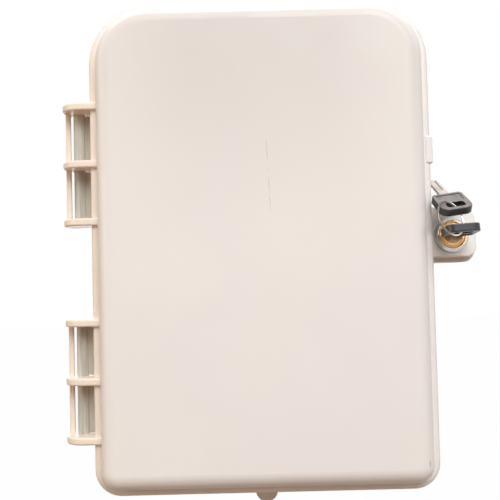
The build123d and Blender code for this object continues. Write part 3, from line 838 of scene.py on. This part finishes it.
@dataclass(frozen=True)
class ClearPlastic(Finish):
    """Thin clear plastic with a light smoky tint and hairline scuffs."""

    roughness: float = 0.08
    alpha: float = 0.20
    hairs: Pattern = Pattern(2600.0, 2.0, 0.60, 0.80, (1.0, 1.0, 0.03))
    hair_share: float = 0.2
    haze: Pattern = Pattern(30.0, 4.0, 0.42, 0.75)
    haze_share: float = 0.12
    frost: Colour = (0.9, 0.9, 0.9)
    frost_share: float = 0.3
    scuff_spread: float = 0.25
    scuff_depth: float = 0.00001

    def sockets(self, graph: Graph) -> dict[Key, Feed]:
        """Work out what the shader's sockets take.

        Args:
            graph: The material's graph.

        Returns:
            Values and links by socket name.
        """
        hairs = self.hairs.mask(graph) * self.hair_share
        scuffs = self.haze.mask(graph) * self.haze_share + hairs
        return {
            "Base Color": graph.blend(scuffs * self.frost_share, self.colour, self.frost),
            "Roughness": self.roughness + scuffs * self.scuff_spread,
            "Alpha": self.alpha + scuffs * self.scuff_spread,
            "IOR": PLASTIC_IOR,
            "Normal": graph.relief(scuffs, self.scuff_depth),
        }


WARM_WHITE = from_screen(240, 236, 233)

NODE_FINISHES: dict[str, Finish] = {
    "lid": LidPlastic("lid_warm_white", WARM_WHITE),
    "base_shell": BasePlastic("base_warm_white", WARM_WHITE),
}

SLOT_FINISHES: dict[Slot, Finish] = {
    Slot.GASKET: Rubber("seal_foam", (0.022, 0.022, 0.022), roughness=0.85, mottle=0.6),
    Slot.LOCK: LockHead(
        "lock_plating",
        (0.52, 0.535, 0.52),
        roughness=0.26,
        tarnish=(0.30, 0.28, 0.25),
        tarnish_share=0.4,
    ),
    Slot.BRASS: Metal(
        "plug_worn_brass",
        (0.92, 0.60, 0.31),
        roughness=0.22,
        lines=Pattern(700.0, 4.0, stretch=(1.0, 0.15, 1.0)),
        line_depth=0.00002,
        tarnish=(0.30, 0.15, 0.06),
        tarnish_share=0.45,
    ),
    Slot.ZINC: Metal(
        "zinc_plate",
        (0.58, 0.60, 0.62),
        roughness=0.36,
        lines=Pattern(900.0, 4.0, stretch=(1.0, 1.0, 0.1)),
    ),
    Slot.SCREW: Metal("screw_zinc", (0.55, 0.57, 0.60), roughness=0.28),
    Slot.KEY_METAL: Metal(
        "key_nickel",
        (0.84, 0.77, 0.71),
        roughness=0.24,
        lines=Pattern(1400.0, 4.0, stretch=(0.15, 0.15, 1.0)),
        line_depth=0.00002,
        tarnish=(0.34, 0.24, 0.17),
        tarnish_share=0.35,
    ),
    Slot.KEY_PLASTIC: KeyBow(
        "key_black",
        (0.013, 0.011, 0.011),
        roughness=0.36,
        grain_scale=1900.0,
        grain_depth=0.000012,
        cloud=0.2,
        soil=(0.10, 0.085, 0.08),
        soil_share=0.3,
        coat=0.2,
    ),
    Slot.RING: RingWire("ring_bright", (0.92, 0.92, 0.91), roughness=0.12),
    Slot.TRAY: Moulding("tray_grey", (0.60, 0.60, 0.57), roughness=0.46, grain_scale=2000.0),
    Slot.COVER: ClearPlastic("cover_clear", (0.50, 0.56, 0.60)),
    Slot.COMB: Rubber("comb_dark_rubber", (0.035, 0.038, 0.045), roughness=0.66),
    Slot.MODULE: Moulding(
        "module_grey", (0.055, 0.065, 0.08), roughness=0.5, grain_scale=1500.0, cloud=0.06
    ),
    Slot.PANEL: Moulding("panel_grey", (0.52, 0.52, 0.49), roughness=0.44, grain_scale=2100.0),
    Slot.ADAPTER: Moulding(
        "adapter_blue",
        (0.012, 0.10, 0.26),
        roughness=0.3,
        grain_scale=1700.0,
        grain_depth=0.000012,
        cloud=0.06,
        coat=0.2,
    ),
    Slot.CAP: Rubber("cap_pale", (0.60, 0.60, 0.57), roughness=0.6, mottle=0.4),
    Slot.GROMMET: Rubber("grommet_black", (0.012, 0.012, 0.012), roughness=0.6),
}


@dataclass(frozen=True)
class StudioCamera:
    """The camera: where it stands, how it is turned in degrees and how long its lens is."""

    place: Triple = (-0.00864, -0.600, -0.02677)
    yaw: float = -0.096
    pitch: float = 2.555
    roll: float = 1.406
    focal_pixels: float = 857.1
    image_pixels: float = 500.0
    sensor: float = 36.0

    def build(self) -> None:
        """Make the camera and use it for the scene."""
        data = bpy.data.cameras.new("studio_camera")
        data.sensor_width = self.sensor
        data.lens = self.sensor * self.focal_pixels / self.image_pixels
        camera = bpy.data.objects.new("studio_camera", data)
        bpy.context.scene.collection.objects.link(camera)
        turn = Matrix.Identity(3)
        for angle, axis in ((self.yaw, "Z"), (self.pitch, "X"), (self.roll, "Y")):
            turn = turn @ Matrix.Rotation(math.radians(angle), 3, axis)
        axes = Matrix((turn.col[0], turn.col[2], -turn.col[1])).transposed()
        camera.matrix_world = Matrix.Translation(self.place) @ axes.to_4x4()
        bpy.context.scene.camera = camera
        log.info("the camera stands at %s", self.place)


@dataclass(frozen=True)
class Lamp:
    """A square lamp: its place, its power in watts and its side in metres."""

    name: str
    place: Triple
    power: float
    side: float
    colour: Colour = WHITE

    def build(self, target: Triple) -> None:
        """Make the lamp.

        Args:
            target: The point that it faces.
        """
        data = bpy.data.lights.new(self.name, "AREA")
        data.energy = self.power
        data.size = self.side
        data.color = self.colour
        lamp = bpy.data.objects.new(self.name, data)
        bpy.context.scene.collection.objects.link(lamp)
        turn = (Vector(target) - Vector(self.place)).to_track_quat("-Z", "Y")
        lamp.matrix_world = Matrix.Translation(self.place) @ turn.to_matrix().to_4x4()
        log.info("%s gives %.1f W", self.name, self.power)


COOL_LIGHT: Colour = (0.955, 0.985, 1.0)
WARM_LIGHT: Colour = (1.0, 0.86, 0.70)
LAMPS = (
    Lamp("front_lamp", (0.60, -2.75, 1.90), power=80.0, side=1.8, colour=COOL_LIGHT),
    Lamp("top_lamp", (0.10, -0.75, 1.70), power=5.2, side=0.7, colour=COOL_LIGHT),
    Lamp("left_lamp", (-1.5, -0.75, 0.25), power=7.6, side=0.9, colour=WARM_LIGHT),
    Lamp("right_lamp", (1.5, -1.0, -0.1), power=3.8, side=0.9),
    Lamp("back_lamp", (-0.5, 2.2, 0.3), power=17.0, side=1.2),
)


@dataclass(frozen=True)
class Studio:
    """Soft light from above and in front, a white surround and a pale floor."""

    target: Triple = (0.0, -0.05, 0.0)
    sky: Colour = (0.46, 0.47, 0.48)
    horizon: Colour = (0.21, 0.165, 0.125)
    ground: Colour = (0.10, 0.05, 0.02)
    floor_z: float = -0.32
    floor_reach: float = 7.0
    floor_cells: int = 4
    floor_colour: Colour = (0.22, 0.11, 0.045)
    floor_dark: float = 0.95
    floor_speckle: Pattern = Pattern(40.0, 3.0)
    white_share: float = 0.99

    def build(self) -> None:
        """Make the lamps, the surround and the floor."""
        for lamp in LAMPS:
            lamp.build(self.target)
        self.surround()
        self.floor()

    @staticmethod
    def seen(graph: Graph) -> Wire:
        """Which rays see the surround itself.

        Args:
            graph: The graph that asks.

        Returns:
            1 for camera, glossy and transmission rays, 0 for the rest.
        """
        path = graph.node("ShaderNodeLightPath")
        camera = Wire(graph, path.outputs["Is Camera Ray"])
        glossy = Wire(graph, path.outputs["Is Glossy Ray"])
        through = Wire(graph, path.outputs["Is Transmission Ray"])
        return camera.most(glossy).most(through)

    @staticmethod
    def join(
        graph: Graph, share: Wire, first: bpy.types.Node, second: bpy.types.Node, output: str
    ) -> None:
        """Mix two shaders into the output.

        Args:
            graph: The graph.
            share: The mix.
            first: The shader at share 0.
            second: The shader at share 1.
            output: The output node's type.
        """
        mixed = graph.node("ShaderNodeMixShader", sockets={0: share})
        graph.tree.links.new(first.outputs[0], mixed.inputs[1])
        graph.tree.links.new(second.outputs[0], mixed.inputs[2])
        graph.tree.links.new(mixed.outputs[0], graph.node(output).inputs["Surface"])

    def surround(self) -> None:
        """Light the world from above, warm and dim from below, and show it white."""
        world = bpy.data.worlds.new("studio_world")
        world.use_nodes = True
        bpy.context.scene.world = world
        graph = Graph(world.node_tree)
        _, _, up = graph.parts(graph.wire("ShaderNodeTexCoord", output="Generated"))
        stops = [(0.0, self.ground), (0.5, self.horizon), (1.0, self.sky)]
        tone = graph.wire("ShaderNodeValToRGB", {"stops": stops}, {0: up * 0.5 + 0.5})
        light = graph.node("ShaderNodeBackground", sockets={"Color": tone, "Strength": 1.0})
        white = graph.node("ShaderNodeBackground", sockets={"Color": WHITE, "Strength": 1.0})
        self.join(graph, self.seen(graph), light, white, "ShaderNodeOutputWorld")

    def floor_material(self) -> bpy.types.Material:
        """Make the floor's paint, which is shown white.

        Returns:
            The material.
        """
        material = bpy.data.materials.new("studio_floor")
        material.use_nodes = True
        graph = Graph(material.node_tree)
        darker = tuple(value * self.floor_dark for value in self.floor_colour)
        paint = graph.blend(self.floor_speckle.noise(graph), darker, self.floor_colour)
        matt = graph.node("ShaderNodeBsdfDiffuse", sockets={"Color": paint})
        white = graph.node("ShaderNodeEmission", sockets={"Color": WHITE, "Strength": 1.0})
        share = self.seen(graph) * self.white_share
        self.join(graph, share, matt, white, "ShaderNodeOutputMaterial")
        return material

    def floor(self) -> None:
        """Make the floor."""
        mesh = bpy.data.meshes.new("studio_floor")
        shape = bmesh.new()
        cells = self.floor_cells
        bmesh.ops.create_grid(shape, x_segments=cells, y_segments=cells, size=self.floor_reach)
        bmesh.ops.translate(shape, verts=shape.verts, vec=(0.0, 0.0, self.floor_z))
        shape.to_mesh(mesh)
        shape.free()
        mesh.materials.append(self.floor_material())
        floor = bpy.data.objects.new("studio_floor", mesh)
        bpy.context.scene.collection.objects.link(floor)


@dataclass(frozen=True)
class Dressing:
    """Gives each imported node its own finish, or else the finish of its slot."""

    nodes: Mapping[str, bpy.types.Object]
    slots: Mapping[str, str]
    made: dict[Finish, bpy.types.Material] = field(default_factory=dict)

    def material_of(self, name: str) -> bpy.types.Material:
        """Find a node's material, made once for all the nodes that share its finish.

        Args:
            name: The node's name.

        Returns:
            The material.
        """
        finish = NODE_FINISHES.get(name) or SLOT_FINISHES[Slot(self.slots[name])]
        if finish not in self.made:
            self.made[finish] = finish.material()
        return self.made[finish]

    def dress(self) -> None:
        """Put a material on every node."""
        for name, node in sorted(self.nodes.items()):
            material = self.material_of(name)
            node.data.materials.clear()
            node.data.materials.append(material)
            log.info("%s is finished in %s", name, material.name)


def main() -> None:
    """Build the studio and finish the object."""
    logging.basicConfig(level=logging.INFO, format="%(name)s: %(message)s")
    bpy.context.scene.view_settings.view_transform = "Standard"
    StudioCamera().build()
    Studio().build()
    slots = {part["node"]: part["material_slot"] for part in frame["record"]["subparts"]}
    Dressing(frame["nodes"], slots).dress()


if __name__ == "__main__":
    main()
